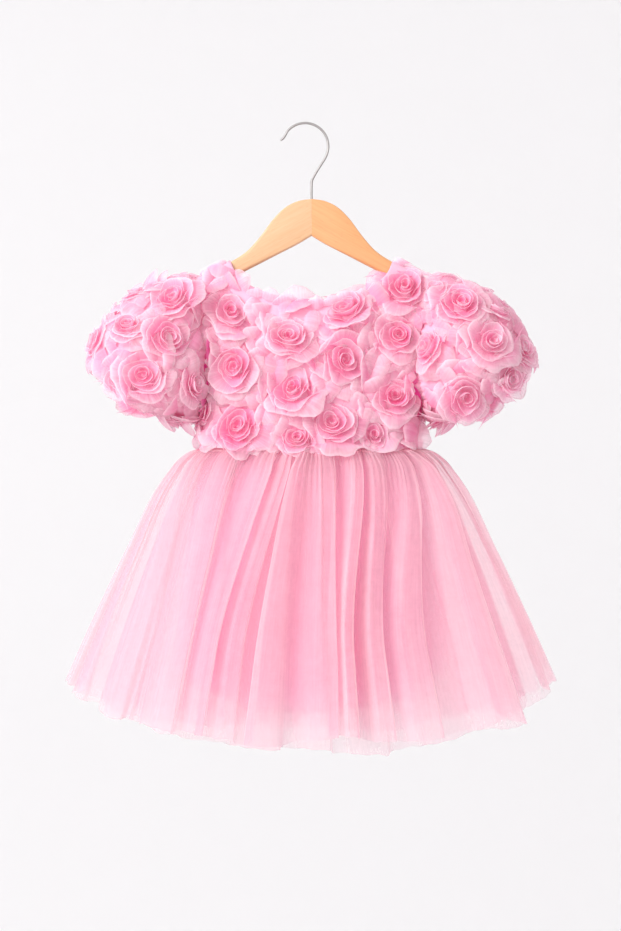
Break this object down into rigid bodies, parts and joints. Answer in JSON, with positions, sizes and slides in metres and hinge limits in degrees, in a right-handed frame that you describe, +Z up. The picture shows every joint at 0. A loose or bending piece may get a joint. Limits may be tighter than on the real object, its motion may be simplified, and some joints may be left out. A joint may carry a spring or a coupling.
{
  "type": "toddler party dress on a hanger",
  "caption": "Short-sleeved toddler party dress with a rosette-covered bodice, puff sleeves and a gathered tulle skirt, on a flat wooden hanger with a wire hook.",
  "frame": {"origin": "The inside of the hook's arch, where it rests on a rail: the mount hook_rest. The garment's middle lies 7.4 mm towards +X of it.", "axes": "+Z up, the dress's front faces -Y, its left side in the front view lies towards -X"},
  "size_m": [0.548, 0.2118, 0.7068],
  "materials": {
    "chiffon": "soft pink chiffon petals over fine net, matte with a slight sheen",
    "tulle": "sheer pink tulle, matte, finely meshed",
    "lining": "smooth pink lining cloth",
    "beech_left": "satin lacquered beech, light",
    "beech_right": "satin lacquered beech, a little darker",
    "hook_wire": "nickel-plated steel wire"
  },
  "bodies": {
    "root": {"bodice_front": "chiffon", "bodice_back_left": "chiffon", "bodice_back_right": "chiffon", "sleeve_left": "chiffon", "sleeve_right": "chiffon", "skirt_tulle_outer": "tulle", "skirt_tulle_under": "tulle", "skirt_lining": "lining", "hanger_wood_left": "beech_left", "hanger_wood_right": "beech_right", "hanger_hook": "hook_wire"}
  },
  "joints": []
}
